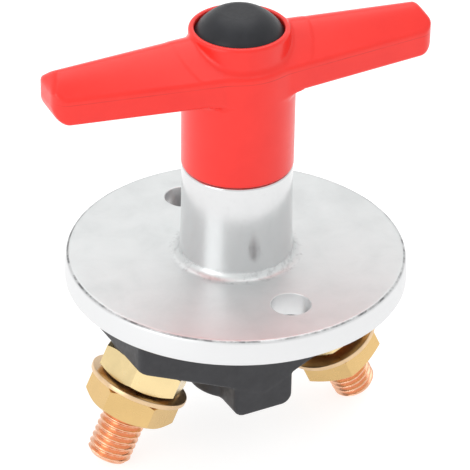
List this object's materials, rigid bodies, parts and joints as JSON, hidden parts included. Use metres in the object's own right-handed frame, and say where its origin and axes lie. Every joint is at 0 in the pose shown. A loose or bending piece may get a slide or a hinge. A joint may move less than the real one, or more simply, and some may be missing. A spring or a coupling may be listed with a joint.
{
  "type": "rotary battery switch",
  "caption": "Panel-mounted rotary battery isolator switch with a two-armed red handle, round metal flange and collar, black contact base and tilted copper terminal studs.",
  "frame": {"origin": "middle of the two fixing holes on the flange's underside, the plane of the panel it is fixed to", "axes": "+Z along the shaft towards the handle, +X along the row of the two terminal studs, Y through the two fixing holes"},
  "size_m": [0.0872, 0.075, 0.1054],
  "materials": {
    "plated_metal": "bright satin plated metal, near mirror on the collar",
    "red_plastic": "moulded glossy red plastic",
    "cap_plastic": "satin dark grey plastic",
    "base_plastic": "matt dark slate moulded thermoset",
    "brass": "bright machined brass",
    "washer_brass": "bright stamped brass, pinkish edge",
    "copper": "bright machined copper",
    "silver": "silver contact face",
    "steel": "plain machined steel",
    "spring_steel": "bright spring wire",
    "dark_steel": "blackened spring steel",
    "bronze": "oiled sintered bronze",
    "nylon": "natural moulded nylon",
    "rubber": "black nitrile rubber"
  },
  "bodies": {
    "housing": {"flange_housing": "plated_metal", "shaft_bush": "bronze", "base_gasket": "rubber", "contact_base": "base_plastic", "base_screws": "steel", "stud_left": "copper", "stud_right": "copper", "stud_contacts": "silver", "lock_nut_left": "brass", "lock_nut_right": "brass", "terminal_washer_left": "washer_brass", "terminal_washer_right": "washer_brass", "terminal_nut_left": "brass", "terminal_nut_right": "brass"},
    "rotor": {"handle": "red_plastic", "handle_cap": "cap_plastic", "handle_screw": "steel", "handle_washer": "steel", "shaft": "steel", "shaft_orings": "rubber", "cross_pin": "steel", "retaining_ring": "dark_steel"},
    "plunger": {"plunger": "nylon", "stem_clip": "dark_steel", "contact_spring": "spring_steel"},
    "bridge": {"contact_bridge": "copper", "bridge_contacts": "silver"}
  },
  "joints": [
    {"name": "handle_turn", "type": "hinge", "parent": "housing", "child": "rotor", "pos_m": [0, 0, 0.03], "axis": [0, 0, 1], "range_deg": [0, 90]},
    {"name": "plunger_lift", "type": "slide", "parent": "housing", "child": "plunger", "axis": [0, 0, 1], "range_m": [0, 0.004]},
    {"name": "bridge_overtravel", "type": "slide", "parent": "plunger", "child": "bridge", "axis": [0, 0, 1], "range_m": [-0.00101, 0], "deforming": ["contact_spring"]}
  ],
  "couplings": [
    {"joint": "handle_turn", "follows": "plunger_lift", "rad_per_m": 392.69},
    {"joint": "bridge_overtravel", "follows": "plunger_lift", "ratio": -0.25}
  ]
}
